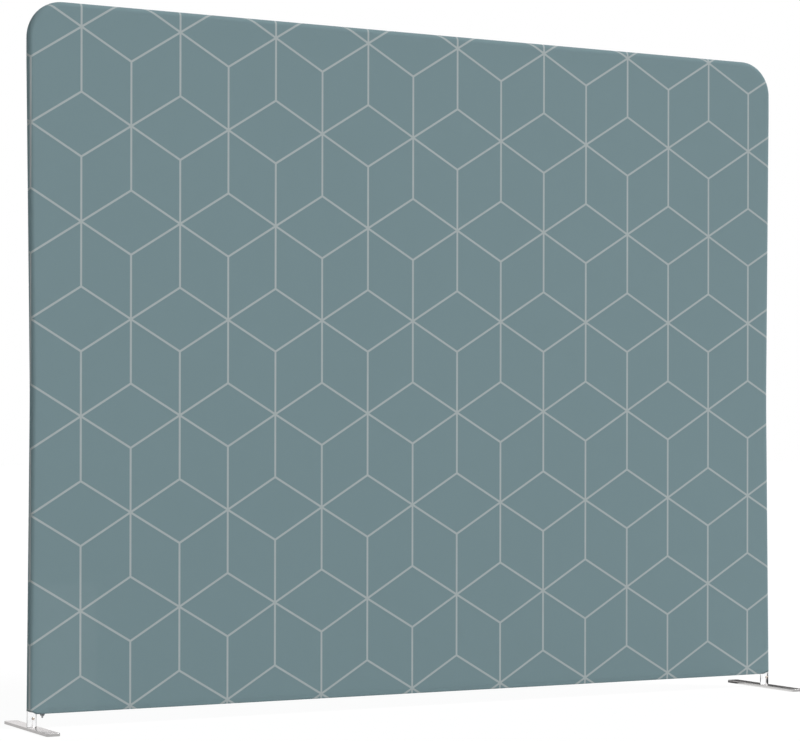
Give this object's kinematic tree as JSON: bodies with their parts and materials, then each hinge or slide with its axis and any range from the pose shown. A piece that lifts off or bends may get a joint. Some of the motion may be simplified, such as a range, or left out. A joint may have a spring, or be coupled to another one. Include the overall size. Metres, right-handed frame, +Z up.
{
  "type": "room divider",
  "caption": "Free-standing room divider: a round-tube frame with curved top corners under a zipped, cube-patterned stretch cover, standing on flat steel feet.",
  "frame": {"origin": "on the floor, under the middle of the wall", "axes": "+X along the wall, to the right for a viewer in front; +Y away from that viewer, through the wall; +Z up"},
  "size_m": [2.5114, 0.35, 2],
  "materials": {
    "tube_aluminium": "bright drawn",
    "sleeve_aluminium": "turned",
    "foot_steel": "satin nickel plate",
    "screw_steel": "zinc plate",
    "spring_steel": "plain",
    "button_steel": "nickel plate",
    "fitting": "moulded",
    "cover_fabric": "printed stretch polyester",
    "zip_tape": "woven",
    "zip_teeth": "moulded",
    "zip_metal": "painted",
    "zip_pull": "painted"
  },
  "bodies": {
    "frame": {"left_foot_plate": "foot_steel", "right_foot_plate": "foot_steel", "left_foot_spigot": "sleeve_aluminium", "right_foot_spigot": "sleeve_aluminium", "foot_screws": "screw_steel", "left_upright_lower": "tube_aluminium", "right_upright_lower": "tube_aluminium", "left_upright_upper": "tube_aluminium", "right_upright_upper": "tube_aluminium", "left_corner_tube": "tube_aluminium", "right_corner_tube": "tube_aluminium", "top_rail_left": "tube_aluminium", "top_rail_right": "tube_aluminium", "bottom_rail_left": "tube_aluminium", "bottom_rail_right": "tube_aluminium", "post_lower": "tube_aluminium", "post_upper": "tube_aluminium", "left_upright_sleeve": "sleeve_aluminium", "right_upright_sleeve": "sleeve_aluminium", "left_corner_side_sleeve": "sleeve_aluminium", "right_corner_side_sleeve": "sleeve_aluminium", "left_corner_top_sleeve": "sleeve_aluminium", "right_corner_top_sleeve": "sleeve_aluminium", "top_rail_sleeve": "sleeve_aluminium", "bottom_rail_sleeve": "sleeve_aluminium", "post_sleeve": "sleeve_aluminium", "post_saddle_top": "fitting", "post_saddle_bottom": "fitting", "left_rail_saddle": "fitting", "right_rail_saddle": "fitting", "foot_button_springs": "spring_steel", "frame_button_springs": "spring_steel", "cover_front": "cover_fabric", "cover_back": "cover_fabric", "zip_tape_front": "zip_tape", "zip_tape_back": "zip_tape", "zip_teeth_front": "zip_teeth", "zip_teeth_back": "zip_teeth", "zip_stops": "zip_metal"},
    "left_foot_button": {"left_foot_button": "button_steel"},
    "right_foot_button": {"right_foot_button": "button_steel"},
    "left_upright_button": {"left_upright_button": "button_steel"},
    "right_upright_button": {"right_upright_button": "button_steel"},
    "left_corner_side_button": {"left_corner_side_button": "button_steel"},
    "right_corner_side_button": {"right_corner_side_button": "button_steel"},
    "left_corner_top_button": {"left_corner_top_button": "button_steel"},
    "right_corner_top_button": {"right_corner_top_button": "button_steel"},
    "top_rail_button": {"top_rail_button": "button_steel"},
    "bottom_rail_button": {"bottom_rail_button": "button_steel"},
    "post_button": {"post_button": "button_steel"},
    "zip_slider": {"zip_slider": "zip_metal"},
    "zip_pull": {"zip_pull": "zip_pull"}
  },
  "joints": [
    {"name": "left_foot_press", "type": "slide", "parent": "frame", "child": "left_foot_button", "axis": [0, 1, 0], "range_m": [0, 0.0046], "stiffness_N_per_m": 2000, "springref_m": -0.001, "deforming": ["foot_button_springs"]},
    {"name": "right_foot_press", "type": "slide", "parent": "frame", "child": "right_foot_button", "axis": [0, 1, 0], "range_m": [0, 0.0046], "stiffness_N_per_m": 2000, "springref_m": -0.001, "deforming": ["foot_button_springs"]},
    {"name": "left_upright_press", "type": "slide", "parent": "frame", "child": "left_upright_button", "axis": [-1, 0, 0], "range_m": [0, 0.0046], "stiffness_N_per_m": 2000, "springref_m": -0.001, "deforming": ["frame_button_springs"]},
    {"name": "right_upright_press", "type": "slide", "parent": "frame", "child": "right_upright_button", "axis": [1, 0, 0], "range_m": [0, 0.0046], "stiffness_N_per_m": 2000, "springref_m": -0.001, "deforming": ["frame_button_springs"]},
    {"name": "left_corner_side_press", "type": "slide", "parent": "frame", "child": "left_corner_side_button", "axis": [-1, 0, 0], "range_m": [0, 0.0046], "stiffness_N_per_m": 2000, "springref_m": -0.001, "deforming": ["frame_button_springs"]},
    {"name": "right_corner_side_press", "type": "slide", "parent": "frame", "child": "right_corner_side_button", "axis": [1, 0, 0], "range_m": [0, 0.0046], "stiffness_N_per_m": 2000, "springref_m": -0.001, "deforming": ["frame_button_springs"]},
    {"name": "left_corner_top_press", "type": "slide", "parent": "frame", "child": "left_corner_top_button", "axis": [0, 0, 1], "range_m": [0, 0.0046], "stiffness_N_per_m": 2000, "springref_m": -0.001, "deforming": ["frame_button_springs"]},
    {"name": "right_corner_top_press", "type": "slide", "parent": "frame", "child": "right_corner_top_button", "axis": [0, 0, 1], "range_m": [0, 0.0046], "stiffness_N_per_m": 2000, "springref_m": -0.001, "deforming": ["frame_button_springs"]},
    {"name": "top_rail_press", "type": "slide", "parent": "frame", "child": "top_rail_button", "axis": [0, 0, 1], "range_m": [0, 0.0046], "stiffness_N_per_m": 2000, "springref_m": -0.001, "deforming": ["frame_button_springs"]},
    {"name": "bottom_rail_press", "type": "slide", "parent": "frame", "child": "bottom_rail_button", "axis": [0, 0, -1], "range_m": [0, 0.0046], "stiffness_N_per_m": 2000, "springref_m": -0.001, "deforming": ["frame_button_springs"]},
    {"name": "post_press", "type": "slide", "parent": "frame", "child": "post_button", "axis": [-1, 0, 0], "range_m": [0, 0.0046], "stiffness_N_per_m": 2000, "springref_m": -0.001, "deforming": ["frame_button_springs"]},
    {"name": "zip_slide", "type": "slide", "parent": "frame", "child": "zip_slider", "axis": [1, 0, 0], "range_m": [0, 2.409]},
    {"name": "pull_swing", "type": "hinge", "parent": "zip_slider", "child": "zip_pull", "pos_m": [-1.20492, 0, 0.0398], "axis": [0, 1, 0], "range_deg": [-80, 80]}
  ]
}
